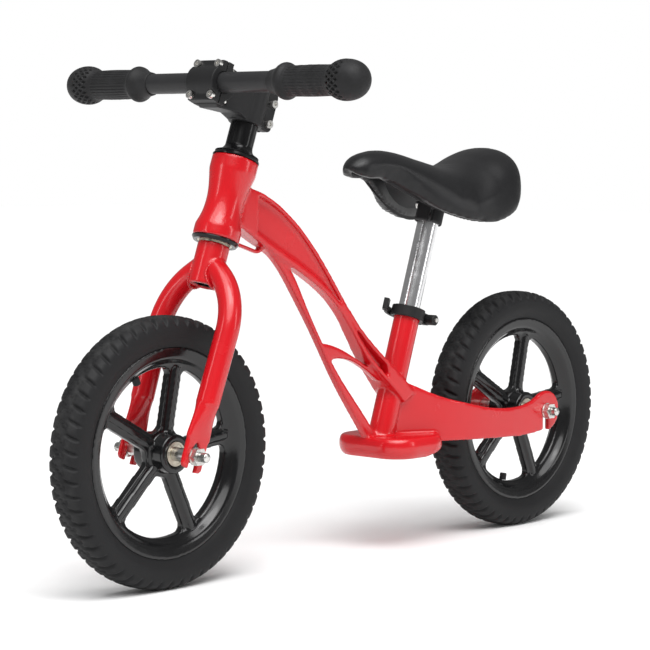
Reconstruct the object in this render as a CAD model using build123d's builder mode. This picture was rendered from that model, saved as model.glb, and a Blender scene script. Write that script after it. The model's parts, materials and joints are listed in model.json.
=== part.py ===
from build123d import *
import os
from math import cos, radians, sin

# Balance bike: a cast frame with a foot plate and no pedals, a welded fork, two
# five-spoke wheels with foam tyres, a clamped handlebar and a saddle on a sliding post.
# +X is the way the bike rolls, +Y is the rider's left, +Z is up.
# The origin is on the ground, midway between the two wheel contacts.

# ---------------------------------------------------------------- driving sizes (mm, degrees)
wheel_radius = 145.0        # outside of the tyre
wheelbase = 600.0           # axle to axle
head_tilt = 19.9            # steering axis, leaning back from vertical
seat_tilt = 18.7            # seat tube, leaning back from vertical
running_fit = 0.05          # radial clearance of a shaft in its hole
seat_gap = 0.3              # small gap between pieces that rest on each other

# wheels
rim_lip_radius = 113.2      # outside edge of the rim flange
rim_lip_half = 16.5         # half the rim's width at the flange edge
rim_well_radius = 104.0     # floor of the channel that holds the tyre
rim_inner_radius = 91.0     # inside of the rim, where the spokes end
spoke_count = 5
spoke_width = 19.0
spoke_half = 4.5            # half the thickness of the spoke plate
spoke_rib_width = 7.0
spoke_rib_half = 7.5
front_spoke_turn = 101.0    # angle of one spoke above +X
rear_spoke_turn = 102.0
hub_radius = 21.0
hub_half = 22.4             # half the width of the hub
tyre_half = 20.8            # half the width of the tyre
bearing_radius = 13.0
bearing_width = 8.0
axle_radius = 5.0
axle_half = 69.5            # half the length of the axle, standing 8 mm out of each nut
nut_across = 17.0
nut_height = 7.0
washer_radius = 9.5
washer_thick = 1.5

# fork
leg_radius = 12.7
leg_offset = 51.5           # leg centre line from the middle, up the wheel
dropout_mid = 48.0          # middle of the dropout plate, across the bike
dropout_thick = 5.0
leg_round_from = 58.0       # below this the tube is pressed flat
leg_bend_start = 134.0      # height of the bend above the axle, along the steering axis
leg_bend_radius = 75.0
leg_bend_angle = 55.0
leg_run_in = 13.5           # straight end of the leg, inside the crown tube
crown_radius = 17.5
crown_low = 184.0
crown_high = 230.5
steerer_radius = 12.7
steerer_wall = 2.4
steerer_top = 410.0

# head tube and its bearings, heights along the steering axis from the axle
head_low = 236.0
head_high = 327.0
head_end_radius = 25.6
head_waist_radius = 20.6
head_bore_radius = 17.0
cup_flange = 4.2
cup_floor = 1.0
cup_skirt = 8.0
ball_height = 3.0
race_gap = 0.15             # between the balls and the turning race
race_radius = 19.5
race_height = 5.0

# stem and handlebar
sleeve_radius = 15.0
stem_low = 367.5
stem_high = 413.0
stem_reach = 62.8           # bar centre ahead of the steering axis
bar_height = 391.4
bar_radius = 11.1
bar_wall = 1.8
bar_half = 216.0
bar_clamp_half = 20.0
bar_clamp_radius = 19.0
face_bolt_half_height = 17.5
face_bolt_half_width = 15.5
pinch_bolt_back = 22.5
pinch_bolt_heights = (376.0, 399.0)
grip_inner_end = 90.0
grip_outer_end = 220.5
grip_end_flat = 4.0         # radius of the flat at the tip
grip_flange_at = 111.5
grip_barrel_radius = 15.6
grip_bulb_radius = 22.0

# frame
foot_x = -51.0              # where the seat tube's centre line meets foot_z
foot_z = 130.0
seat_tube_radius = 15.25
seat_tube_top = 154.0       # along the seat tube from its foot
seat_tube_floor = 6.0
post_radius = 12.7
post_wall = 1.6
post_low = 79.0
post_high = 292.0
web_half = 3.0
beam_rim = 4.6              # rim above the recess of the top beam
beam_flange = (8.5, 8.5, 8.5, 7.5, 5.5, 5.0, 5.0)
beam_top = ((183, 423), (161.3, 418), (138.7, 408.5), (105, 387), (75.6, 360.5), (30.5, 306.4),
            (-21.2, 244.4), (-47.6, 220), (-90.8, 180.4))
beam_low = ((195, 381), (168, 367), (139, 351), (107.5, 335), (74, 317), (30, 285), (-18, 224), (-45, 197),
            (-72, 170))
beam_half = 8.0             # top beam, half width along its run
beam_foot_half = 17.5       # top beam, half width where it passes the seat tube
strut_half = 5.5
plate_front = -20.0
plate_back = -118.0
plate_half = 55.0
plate_low = 108.5
plate_high = 133.0
plate_wall = 5.0
plate_round = ((108.5, 8.0), (111.5, 2.5), (117.0, 0.0), (127.0, 0.0), (131.0, 1.8), (133.0, 5.5))
stay_outer = 52.5
stay_inner = 45.5
wheel_slot_front = -128.0
dropout_boss_radius = 24.5

# seat clamp
collar_radius = 19.8
collar_low = 143.5
collar_high = 156.5
ear_back = 32.5
ear_half = 9.0
skewer_back = 26.5
skewer_radius = 2.5
cam_radius = 6.5
cam_side = 16.6
cam_pin_radius = 3.5
lever_side = 24.0

# saddle, along X: half width at the skirt, skirt height, crown height
saddle_stations = (
    (6.0, 11.0, 437.0, 452.0),
    (-34.0, 23.0, 428.0, 462.0),
    (-85.0, 40.0, 401.0, 455.0),
    (-140.0, 57.0, 381.0, 441.5),
    (-190.0, 66.0, 378.0, 451.0),
    (-234.0, 60.0, 400.0, 464.0),
    (-260.0, 34.0, 427.0, 455.0),
)
cushion_thick = 15.0
base_thick = 4.0
socket_radius = 16.5
socket_low = 261.0
socket_high = 308.0
clamp_bolt_at = 283.0

axle_z = wheel_radius
front_x = wheelbase / 2
rear_x = -wheelbase / 2
head_c = cos(radians(head_tilt))
head_s = sin(radians(head_tilt))
seat_c = cos(radians(seat_tilt))
seat_s = sin(radians(seat_tilt))

front_axle = Vector(front_x, 0, axle_z)
steer_up = Vector(-head_s, 0, head_c)
steer_ahead = Vector(head_c, 0, head_s)
seat_foot = Vector(foot_x, 0, foot_z)
seat_up = Vector(-seat_s, 0, seat_c)
seat_ahead = Vector(seat_c, 0, seat_s)

# planes along the two leaning axes: "side" planes have the axis as their local y
steer_axis = Axis(front_axle, steer_up)
seat_axis = Axis(seat_foot, seat_up)
steer_side = Plane(origin=front_axle, x_dir=steer_ahead, z_dir=(0, -1, 0))
steer_face = Plane(origin=front_axle, x_dir=(0, 1, 0), z_dir=steer_ahead)
steer_base = Plane(origin=front_axle, x_dir=steer_ahead, z_dir=steer_up)
seat_side = Plane(origin=seat_foot, x_dir=seat_ahead, z_dir=(0, -1, 0))
seat_base = Plane(origin=seat_foot, x_dir=seat_ahead, z_dir=seat_up)


def keep(piece, name):
    """Label a finished piece and write it out."""
    piece.part.label = name
    export_step(piece.part, f"parts/{name}.step")


def side_plane(y):
    """Upright plane at a distance across the bike; local x is +X and local y is +Z."""
    return Plane(origin=(0, y, 0), x_dir=(1, 0, 0), z_dir=(0, -1, 0))


def axle_plane(x, y):
    """Plane square to an axle, at a distance across the bike, facing the rider's left."""
    return Plane(origin=(x, y, axle_z), x_dir=(1, 0, 0), z_dir=(0, 1, 0))


def ring(plane, outer, inner, length):
    """A tube or washer standing on a plane."""
    with BuildPart() as piece:
        with BuildSketch(plane):
            Circle(outer)
            if inner > 0:
                Circle(inner, mode=Mode.SUBTRACT)
        extrude(amount=length)
    return piece


# ---------------------------------------------------------------- wheels

def rim_profile():
    """Half of the rim's section, from the middle plane outwards: (across, radius)."""
    return [
        (0, rim_inner_radius),
        (spoke_half + 0.5, rim_inner_radius),
        (spoke_half + 3.0, rim_inner_radius + 4.0),
        (rim_lip_half - 5.0, rim_inner_radius + 7.2),
        (rim_lip_half - 3.2, rim_inner_radius + 8.6),
        (rim_lip_half - 1.8, rim_inner_radius + 10.5),
        (rim_lip_half, rim_lip_radius - 0.8),
        (rim_lip_half - 0.8, rim_lip_radius),
        (rim_lip_half - 3.0, rim_lip_radius - 1.5),
        (rim_lip_half - 5.5, rim_well_radius + 1.5),
        (rim_lip_half - 8.0, rim_well_radius),
        (0, rim_well_radius),
    ]


def build_rim(x, turn, name):
    """One-piece wheel: hub, spokes with a raised rib, and a channel for the tyre."""
    across = Plane(origin=(x, 0, axle_z), x_dir=(0, 1, 0), z_dir=(1, 0, 0))
    middle = Plane(origin=(x, 0, axle_z), x_dir=(1, 0, 0), z_dir=(0, -1, 0))
    with BuildPart() as rim:
        # rim ring
        with BuildSketch(across):
            for way in (1, -1):
                with BuildLine():
                    Polyline(*[(way * a, r) for a, r in rim_profile()], close=True)
                make_face()
        revolve(axis=Axis((x, 0, axle_z), (0, 1, 0)))
        # hub barrel
        with BuildSketch(middle):
            Circle(hub_radius)
        extrude(amount=hub_half, both=True)
        chamfer(rim.edges().filter_by(GeomType.CIRCLE).filter_by(
            lambda e: abs(e.radius - hub_radius) < 0.01), length=1.5)
        # spoke plate, flared into the hub and into the rim by rounded windows
        with BuildSketch(middle):
            Circle(rim_inner_radius + 2.0)
            gap_turn = 180.0 / spoke_count
            reach = rim_inner_radius - 0.5
            with BuildSketch(mode=Mode.PRIVATE) as window:
                Circle(reach)
                Circle(hub_radius + 5.0, mode=Mode.SUBTRACT)
                for side in (1, -1):
                    with Locations(Rotation(0, 0, side * gap_turn)):
                        Rectangle(4 * reach, 4 * reach, mode=Mode.SUBTRACT,
                                  align=(Align.CENTER, Align.MIN if side > 0 else Align.MAX))
                    with Locations(Rotation(0, 0, side * gap_turn)):
                        Rectangle(2 * reach, spoke_width, mode=Mode.SUBTRACT)
                fillet(window.vertices(), radius=7.0)
            with PolarLocations(0, spoke_count, start_angle=turn + gap_turn):
                add(window.sketch, mode=Mode.SUBTRACT)
        extrude(amount=spoke_half, both=True)
        # raised rib along each spoke
        with BuildSketch(middle):
            with PolarLocations(0, spoke_count, start_angle=turn):
                with Locations((rim_inner_radius / 2, 0)):
                    Rectangle(rim_inner_radius + 2.0, spoke_rib_width)
        extrude(amount=spoke_rib_half, both=True)
        # through hole and the two bearing seats
        with BuildSketch(middle):
            Circle(bearing_radius - 3.0)
        extrude(amount=hub_half, both=True, mode=Mode.SUBTRACT)
        for y in (hub_half, -hub_half):
            with BuildSketch(axle_plane(x, y)):
                Circle(bearing_radius + running_fit)
            extrude(amount=-bearing_width if y > 0 else bearing_width, mode=Mode.SUBTRACT)
    keep(rim, name)


def build_tyre(x, name):
    """Foam tyre that fills the rim channel; its inside follows the rim with a small gap."""
    across = Plane(origin=(x, 0, axle_z), x_dir=(0, 1, 0), z_dir=(1, 0, 0))
    floor = rim_well_radius + seat_gap
    with BuildPart() as tyre:
        with BuildSketch(across):
            with BuildLine():
                foot = Polyline(
                    (rim_lip_half + 0.3, rim_lip_radius + 0.5),
                    (rim_lip_half - 1.0, rim_lip_radius + 0.4),
                    (rim_lip_half - 3.5, rim_lip_radius - 1.0),
                    (rim_lip_half - 6.0, floor + 1.6),
                    (rim_lip_half - 8.5, floor),
                    (-rim_lip_half + 8.5, floor),
                    (-rim_lip_half + 6.0, floor + 1.6),
                    (-rim_lip_half + 3.5, rim_lip_radius - 1.0),
                    (-rim_lip_half + 1.0, rim_lip_radius + 0.4),
                    (-rim_lip_half - 0.3, rim_lip_radius + 0.5),
                )
                shoulder = (tyre_half - 2.2, wheel_radius - 5.5)
                Spline(foot @ 0, (tyre_half, rim_lip_radius + 15.0), shoulder)
                Spline(foot @ 1, (-tyre_half, rim_lip_radius + 15.0), (-shoulder[0], shoulder[1]))
                ThreePointArc(shoulder, (0, wheel_radius), (-shoulder[0], shoulder[1]))
            make_face()
        revolve(axis=Axis((x, 0, axle_z), (0, 1, 0)))
    keep(tyre, name)


def build_wheel_fittings(x, plug_turn, label):
    """Tyre plug, the two bearings, axle, spacers, washers and nuts of one wheel."""
    plug_way = Vector(cos(radians(plug_turn)), 0, sin(radians(plug_turn)))
    plug_foot = Vector(x, 0, axle_z) + plug_way * (rim_inner_radius - 0.9)
    with BuildPart() as plug:
        with BuildSketch(Plane(origin=plug_foot, z_dir=plug_way * -1)):
            Circle(4.2)
        extrude(amount=8.5)
        chamfer(plug.faces().sort_by(Axis(plug_foot, plug_way))[0].edges(), length=0.8)
    keep(plug, f"{label}_tyre_plug")

    with BuildPart() as bearings:
        for y in (hub_half, -hub_half):
            inward = -bearing_width if y > 0 else bearing_width
            with BuildSketch(axle_plane(x, y)):
                Circle(bearing_radius)
                Circle(axle_radius + running_fit, mode=Mode.SUBTRACT)
            extrude(amount=inward)
            # shallow groove between the outer race and the inner race
            with BuildSketch(axle_plane(x, y)):
                Circle(bearing_radius - 2.2)
                Circle(axle_radius + 2.6, mode=Mode.SUBTRACT)
            extrude(amount=0.8 if y < 0 else -0.8, mode=Mode.SUBTRACT)
    keep(bearings, f"{label}_hub_bearings")

    with BuildPart() as tube:
        add(ring(axle_plane(x, -(hub_half - bearing_width) + 0.1), axle_radius + 2.2,
                 axle_radius + running_fit, 2 * (hub_half - bearing_width) - 0.2).part)
    keep(tube, f"{label}_bearing_spacer")

    with BuildPart() as axle:
        with BuildSketch(axle_plane(x, -axle_half)):
            Circle(axle_radius)
        extrude(amount=2 * axle_half)
        chamfer(axle.edges().filter_by(GeomType.CIRCLE), length=0.8)
    keep(axle, f"{label}_axle")

    inner_face = plate_inner_face(label)
    outer_face = plate_outer_face(label)
    with BuildPart() as spacers:
        for side in (1, -1):
            low = hub_half + 0.1
            high = inner_face
            start = low if side > 0 else -high
            add(ring(axle_plane(x, start), axle_radius + 2.4, axle_radius + running_fit, high - low).part)
    keep(spacers, f"{label}_axle_spacers")

    with BuildPart() as washers:
        for side in (1, -1):
            start = outer_face if side > 0 else -outer_face - washer_thick
            add(ring(axle_plane(x, start), washer_radius, axle_radius + running_fit, washer_thick).part)
    keep(washers, f"{label}_axle_washers")

    with BuildPart() as nuts:
        for side in (1, -1):
            near = outer_face + washer_thick
            start = near if side > 0 else -near - nut_height
            with BuildSketch(axle_plane(x, start)):
                RegularPolygon(nut_across / 2, 6, major_radius=False)
                Circle(axle_radius + running_fit, mode=Mode.SUBTRACT)
            extrude(amount=nut_height)
    keep(nuts, f"{label}_axle_nuts")


def plate_inner_face(label):
    """Inside face of the plate that holds this axle."""
    return dropout_mid - dropout_thick / 2 if label == "front" else stay_inner


def plate_outer_face(label):
    """Outside face of the plate that holds this axle."""
    return dropout_mid + dropout_thick / 2 if label == "front" else stay_outer


# ---------------------------------------------------------------- fork and steering

def build_fork():
    """Welded fork: a short crown tube, two bent legs and flattened ends with open slots."""
    with BuildPart() as fork:
        with BuildSketch(steer_base.offset(crown_low)):
            Circle(crown_radius)
        extrude(amount=crown_high - crown_low)
        # right leg; the left one is its mirror image
        with BuildLine(steer_face) as leg_line:
            low = Line((-dropout_mid - 1.5, leg_round_from), (-leg_offset, leg_bend_start))
            bend = JernArc(start=low @ 1, tangent=low % 1, radius=leg_bend_radius,
                           arc_size=-leg_bend_angle)
            Line(bend @ 1, bend @ 1 + (bend % 1) * leg_run_in)
        leg_foot = Plane(origin=leg_line.line @ 0, x_dir=steer_ahead, z_dir=leg_line.line % 0)
        with BuildSketch(leg_foot) as leg_round:
            Circle(leg_radius)
        sweep(sections=leg_round.sketch, path=leg_line.line)
        # the tube is pressed flat towards the dropout
        flat_foot = Plane(origin=steer_face.from_local_coords((-dropout_mid, 21.0, 0)),
                          x_dir=steer_ahead, z_dir=steer_up)
        with BuildSketch(flat_foot) as flat:
            RectangleRounded(32.6, dropout_thick + 1.4, 2.6)
        with BuildSketch(leg_foot.offset(1.5)) as blend:
            Circle(leg_radius - 0.1)
        loft(sections=[flat.sketch, blend.sketch])
        plate = steer_side.offset(dropout_mid)
        with BuildSketch(plate):
            with BuildLine():
                Polyline((-12.0, 30.0), (-15.0, 18.0), (-15.0, -12.0), (-12.5, -15.5), (-5.5, -16.5),
                         (5.5, -14.5), (12.5, -13.5), (15.0, -10.0), (15.0, 18.0), (12.0, 30.0), close=True)
            make_face()
        extrude(amount=dropout_thick / 2, both=True)
        # slot for the axle, with a pointed relief above it
        with BuildSketch(plate):
            with Locations((0, -10.0)):
                Rectangle(2 * (axle_radius + 0.25), 20.0)
            Circle(axle_radius + 0.25)
            with BuildLine():
                Polyline((-7.2, 4.0), (0, 16.5), (7.2, 4.0), close=True)
            make_face()
        extrude(amount=2 * dropout_thick, both=True, mode=Mode.SUBTRACT)
        mirror(about=Plane.XZ)
        # bore for the steerer
        with BuildSketch(steer_base.offset(crown_low - 30.0)):
            Circle(steerer_radius + running_fit)
        extrude(amount=crown_high - crown_low + 60.0, mode=Mode.SUBTRACT)
    keep(fork, "fork")


def build_steerer():
    """Straight tube from the crown, through the head tube, up into the stem."""
    steerer = ring(steer_base.offset(crown_low + 2.0), steerer_radius, steerer_radius - steerer_wall,
                   steerer_top - crown_low - 2.0)
    keep(steerer, "steerer_tube")


def build_headset():
    """Pressed cups, ball rings, races and the tall black top cover."""
    bore = steerer_radius + 0.8
    for name, seat, way in (("lower_bearing_cup", head_low, -1), ("upper_bearing_cup", head_high, 1)):
        with BuildPart() as cup:
            with BuildSketch(steer_side):
                with BuildLine():
                    Polyline(
                        (bore, seat - way * cup_skirt),
                        (head_bore_radius - running_fit, seat - way * cup_skirt),
                        (head_bore_radius - running_fit, seat),
                        (head_end_radius, seat),
                        (head_end_radius + 0.2, seat + way * 1.2),
                        (head_end_radius - 1.8, seat + way * cup_flange),
                        (race_radius + 0.4, seat + way * cup_flange),
                        (race_radius + 0.4, seat + way * cup_floor),
                        (bore, seat + way * cup_floor),
                        close=True)
                make_face()
            revolve(axis=steer_axis)
        keep(cup, name)

    for name, seat, way in (("lower_ball_ring", head_low, -1), ("upper_ball_ring", head_high, 1)):
        with BuildPart() as balls:
            with BuildSketch(steer_base.offset(seat + way * cup_floor)):
                Circle(race_radius)
                Circle(bore + 2.4, mode=Mode.SUBTRACT)
            extrude(amount=way * ball_height)
        keep(balls, name)

    race = ring(steer_base.offset(crown_high), race_radius - 2.5, steerer_radius + running_fit,
                head_low - cup_floor - ball_height - race_gap - crown_high)
    keep(race, "crown_race")

    cone_low = head_high + cup_floor + ball_height + race_gap
    cone = ring(steer_base.offset(cone_low), race_radius - 2.5, steerer_radius + running_fit, 3.0)
    keep(cone, "upper_race")

    low = head_high + cup_flange + seat_gap
    with BuildPart() as cover:
        with BuildSketch(steer_side):
            with BuildLine():
                inner = steerer_radius + running_fit
                a = Polyline((sleeve_radius, low + 11.0), (sleeve_radius, stem_low), (inner, stem_low),
                             (inner, cone_low + 3.0), (race_radius - 2.5, cone_low + 3.0),
                             (race_radius - 2.5, low), (head_end_radius - 1.4, low),
                             (head_end_radius - 1.4, low + 1.0))
                JernArc(start=a @ 0, tangent=(0, -1), radius=9.0, arc_size=68.0)
                Line(a @ 1, (sleeve_radius + 9.0 * (1 - cos(radians(68.0))),
                             low + 11.0 - 9.0 * sin(radians(68.0))))
            make_face()
        revolve(axis=steer_axis)
    keep(cover, "headset_top_cover")


def build_stem():
    """Stem body, its faceplate and every bolt in it."""
    bar_at = (stem_reach, bar_height)
    split = stem_reach + 0.6
    with BuildPart() as stem:
        with BuildSketch(steer_base.offset(stem_low)):
            Circle(sleeve_radius + 3.6)
        extrude(amount=stem_high - stem_low)
        # arm, tapering towards the bar
        with BuildSketch(steer_side):
            with BuildLine():
                Polyline((0, stem_low), (8.0, stem_low), (26.0, stem_low + 4.0),
                         (stem_reach - 6.0, stem_low - 2.0),
                         (stem_reach, bar_height - 23.5), (stem_reach, bar_height + 23.5),
                         (stem_reach - 12.0, bar_height + 21.0), (28.0, stem_high - 3.0),
                          (0, stem_high), close=True)
            make_face()
        extrude(amount=14.5, both=True)
        # back half of the bar clamp
        with BuildSketch(steer_side):
            with Locations(bar_at):
                Circle(bar_clamp_radius)
            with Locations((stem_reach - 4.0, bar_height)):
                Rectangle(8.0, 47.0)
        extrude(amount=bar_clamp_half, both=True)
        # pinch ears behind the steerer
        with BuildSketch(steer_side):
            with Locations((-sleeve_radius - 6.0, (stem_low + stem_high) / 2)):
                Rectangle(18.0, stem_high - stem_low - 1.0)
        extrude(amount=11.0, both=True)
        fillet(stem.edges().filter_by(Axis.Y).sort_by(Axis(front_axle, steer_ahead))[:2], radius=5.0)
        with BuildSketch(steer_side):
            with Locations((-sleeve_radius - 8.0, (stem_low + stem_high) / 2)):
                Rectangle(20.0, stem_high - stem_low + 4.0)
        extrude(amount=1.0, both=True, mode=Mode.SUBTRACT)
        # everything ahead of the split belongs to the faceplate
        with BuildSketch(steer_side):
            with Locations((split + 30.0, bar_height)):
                Rectangle(60.0, 90.0)
        extrude(amount=40.0, both=True, mode=Mode.SUBTRACT)
        with BuildSketch(steer_base.offset(stem_low - 5.0)):
            Circle(steerer_radius + running_fit)
        extrude(amount=stem_high - stem_low + 10.0, mode=Mode.SUBTRACT)
        with BuildSketch(steer_side):
            with Locations(bar_at):
                Circle(bar_radius + running_fit)
        extrude(amount=40.0, both=True, mode=Mode.SUBTRACT)
        # bolt holes
        with BuildSketch(steer_side):
            for height in pinch_bolt_heights:
                with Locations((-pinch_bolt_back, height)):
                    Circle(2.6)
        extrude(amount=30.0, both=True, mode=Mode.SUBTRACT)
        with BuildSketch(Plane(origin=steer_side.from_local_coords((split, bar_height, 0)),
                               x_dir=(0, 1, 0), z_dir=steer_ahead)):
            with GridLocations(2 * face_bolt_half_width, 2 * face_bolt_half_height, 2, 2):
                Circle(2.6)
        extrude(amount=-16.0, mode=Mode.SUBTRACT)
    keep(stem, "stem")

    face_front = stem_reach + 11.0
    bolt_plane = Plane(origin=steer_side.from_local_coords((face_front, bar_height, 0)),
                       x_dir=(0, 1, 0), z_dir=steer_ahead)
    with BuildPart() as faceplate:
        with BuildSketch(steer_side):
            with Locations(bar_at):
                Circle(bar_clamp_radius)
            with BuildLine():
                Polyline((split, bar_height - 23.5), (face_front - 2.0, bar_height - 22.5),
                         (face_front, bar_height - 12.0), (face_front, bar_height + 12.0),
                         (face_front - 2.0, bar_height + 22.5), (split, bar_height + 23.5), close=True)
            make_face()
        extrude(amount=bar_clamp_half, both=True)
        with BuildSketch(steer_side):
            with Locations((split + 0.8 - 30.0, bar_height)):
                Rectangle(60.0, 90.0)
        extrude(amount=40.0, both=True, mode=Mode.SUBTRACT)
        with BuildSketch(steer_side):
            with Locations(bar_at):
                Circle(bar_radius + running_fit)
        extrude(amount=40.0, both=True, mode=Mode.SUBTRACT)
        with BuildSketch(bolt_plane):
            with GridLocations(2 * face_bolt_half_width, 2 * face_bolt_half_height, 2, 2):
                Circle(2.6)
        extrude(amount=-30.0, mode=Mode.SUBTRACT)
        # flat pockets that the bolt heads sit in
        with BuildSketch(bolt_plane.offset(-2.5)):
            with GridLocations(2 * face_bolt_half_width, 2 * face_bolt_half_height, 2, 2):
                Circle(4.9)
        extrude(amount=12.0, mode=Mode.SUBTRACT)
    keep(faceplate, "stem_faceplate")

    with BuildPart() as face_bolts:
        for spot in GridLocations(2 * face_bolt_half_width, 2 * face_bolt_half_height, 2, 2):
            centre = (spot.position.X, spot.position.Y)
            with BuildSketch(bolt_plane.offset(-2.5 + 0.05)):
                with Locations(centre):
                    Circle(4.4)
            extrude(amount=4.6)
            with BuildSketch(bolt_plane.offset(-2.5 + 0.05)):
                with Locations(centre):
                    Circle(2.5)
            extrude(amount=-20.0)
            with BuildSketch(bolt_plane.offset(-2.45 + 4.6)):
                with Locations(centre):
                    RegularPolygon(2.1, 6)
            extrude(amount=-2.6, mode=Mode.SUBTRACT)
    keep(face_bolts, "faceplate_bolts")

    with BuildPart() as pinch_bolts:
        for height in pinch_bolt_heights:
            with BuildSketch(steer_side.offset(-11.0 - 0.05)):
                with Locations((-pinch_bolt_back, height)):
                    Circle(4.4)
            extrude(amount=-4.6)
            with BuildSketch(steer_side.offset(-11.05)):
                with Locations((-pinch_bolt_back, height)):
                    Circle(2.5)
            extrude(amount=22.0)
            with BuildSketch(steer_side.offset(-11.05 - 4.6)):
                with Locations((-pinch_bolt_back, height)):
                    RegularPolygon(2.1, 6)
            extrude(amount=2.6, mode=Mode.SUBTRACT)
    keep(pinch_bolts, "stem_pinch_bolts")

    cap = ring(steer_base.offset(stem_high), sleeve_radius + 3.0, 3.1, 4.0)
    keep(cap, "stem_top_cap")

    with BuildPart() as cap_bolt:
        with BuildSketch(steer_base.offset(stem_high + 4.0)):
            Circle(5.0)
        extrude(amount=3.0)
        with BuildSketch(steer_base.offset(stem_high + 4.0)):
            Circle(3.0)
        extrude(amount=-26.0)
        with BuildSketch(steer_base.offset(stem_high + 7.0)):
            RegularPolygon(2.6, 6)
        extrude(amount=-2.2, mode=Mode.SUBTRACT)
    keep(cap_bolt, "top_cap_bolt")

    star = ring(steer_base.offset(stem_high - 24.0), steerer_radius - steerer_wall - running_fit,
                3.0 + running_fit, 10.0)
    keep(star, "star_nut")


def bar_plane(y):
    """Plane square to the handlebar at a distance across the bike."""
    centre = steer_side.from_local_coords((stem_reach, bar_height, 0))
    return Plane(origin=(centre.X, y, centre.Z), x_dir=(1, 0, 0), z_dir=(0, 1, 0))


def build_handlebar():
    """Straight steel bar and the two rubber grips with a bulb end and an inner flange."""
    bar = ring(bar_plane(-bar_half), bar_radius, bar_radius - bar_wall, 2 * bar_half)
    keep(bar, "handlebar")
    centre = steer_side.from_local_coords((stem_reach, bar_height, 0))
    section = Plane(origin=centre, x_dir=(0, 1, 0), z_dir=(1, 0, 0))
    bore = bar_radius + running_fit
    for name, side in (("grip_left", 1), ("grip_right", -1)):
        with BuildPart() as grip:
            with BuildSketch(section):
                with BuildLine():
                    run = Polyline(
                        (side * grip_outer_end, grip_end_flat),
                        (side * grip_outer_end, 0),
                        (side * grip_inner_end, 0),
                        (side * grip_inner_end, bore + 1.6),
                        (side * (grip_flange_at - 6.0), 15.5),
                        (side * (grip_flange_at - 3.0), 19.6),
                        (side * (grip_flange_at + 2.5), 19.6),
                        (side * (grip_flange_at + 3.5), grip_barrel_radius),
                        (side * 146.0, grip_barrel_radius + 1.0),
                        (side * 176.0, grip_barrel_radius),
                    )
                    Spline(run @ 1, (side * 183.0, 19.8), (side * 194.0, grip_bulb_radius),
                           (side * 207.0, 19.0), (side * (grip_outer_end - 3.0), 12.0), run @ 0)
                make_face()
            revolve(axis=Axis(centre, (0, 1, 0)))
            with BuildSketch(bar_plane(min(side * grip_inner_end, side * (bar_half + 0.2)))):
                Circle(bore)
            extrude(amount=bar_half + 0.2 - grip_inner_end, mode=Mode.SUBTRACT)
        keep(grip, name)


# ---------------------------------------------------------------- frame

def head_tube_shape():
    """Waisted head tube with a raised band at each end."""
    low, high = head_low, head_high
    with BuildPart() as tube:
        with BuildSketch(steer_side):
            with BuildLine():
                ends = Polyline((head_end_radius, low + 13.0), (head_end_radius, low), (0, low), (0, high),
                                (head_end_radius, high), (head_end_radius, high - 15.0))
                Spline(ends @ 0, (head_waist_radius + 0.6, low + 30.0),
                       (head_waist_radius, (low + high) / 2 + 2.0),
                       (head_waist_radius + 2.6, high - 26.0), ends @ 1)
            make_face()
        revolve(axis=steer_axis)
    return tube.part


def shifted(points, distances):
    """The same outline moved sideways, each point by its own distance, to the left of its run."""
    moved = []
    for i, (point, distance) in enumerate(zip(points, distances)):
        before = Vector(*points[max(i - 1, 0)])
        after = Vector(*points[min(i + 1, len(points) - 1)])
        run = (after - before).normalized()
        moved.append((point[0] - run.Y * distance, point[1] + run.X * distance))
    return moved


def top_beam_shape():
    """Arched beam from the head tube to the seat tube, with a recessed web on both sides."""
    with BuildPart() as beam:
        with BuildSketch(side_plane(0)):
            with BuildLine():
                top = Spline(*beam_top)
                low = Spline(*beam_low)
                Line(top @ 0, low @ 0)
                Line(top @ 1, low @ 1)
            make_face()
        extrude(amount=30.0, both=True)
        # plan view: slim along the run, wide where it straddles the seat tube
        with BuildSketch(Plane.XY):
            for side in (1, -1):
                with BuildLine():
                    edge = Spline((200, side * 15.0), (150, side * 10.5), (90, side * beam_half),
                                  (35, side * beam_half), (-15, side * (beam_half + 3.5)),
                                  (-50, side * beam_foot_half), (-100, side * (beam_foot_half + 2.0)))
                    Polyline(edge @ 1, (-100, 0), (200, 0), edge @ 0)
                make_face()
        extrude(amount=500.0, mode=Mode.INTERSECT)
        # recess that leaves the web, a rim above it and a flange below it
        for side in (1, -1):
            with BuildSketch(side_plane(side * web_half)):
                with BuildLine():
                    top = Spline(*shifted(beam_top[1:-1], [beam_rim] * (len(beam_top) - 2)))
                    low = Spline(*shifted(beam_low[1:-1], [-d for d in beam_flange]))
                    Line(top @ 0, low @ 0)
                    Line(top @ 1, low @ 1)
                make_face()
            extrude(amount=-side * 30.0, mode=Mode.SUBTRACT)
    return beam.part


def lower_beams_shape():
    """Slim beam from the head tube down to the foot plate, and the arched strut across it."""
    with BuildPart() as beams:
        with BuildSketch(side_plane(0)):
            with BuildLine():
                outer = Spline((150, 356), (129.7, 341), (102.3, 307.8), (64.5, 254.3),
                               (30.8, 202.2), (-4, 156), (-26, 128))
                inner = Spline((118, 343), (107, 332), (83.6, 295), (52, 244), (24.9, 207),
                               (-9.5, 168), (-40, 132))
                Line(outer @ 0, inner @ 0)
                Line(outer @ 1, inner @ 1)
            make_face()
            with BuildLine():
                over = Spline((54, 246), (23.4, 237.8), (8.1, 231), (-12, 220.5), (-40, 206))
                under = Spline((40, 226), (22, 226.5), (3.7, 222.5), (-13.5, 215), (-44, 196))
                Line(over @ 0, under @ 0)
                Line(over @ 1, under @ 1)
            make_face()
        extrude(amount=strut_half, both=True)
    return beams.part


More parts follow.
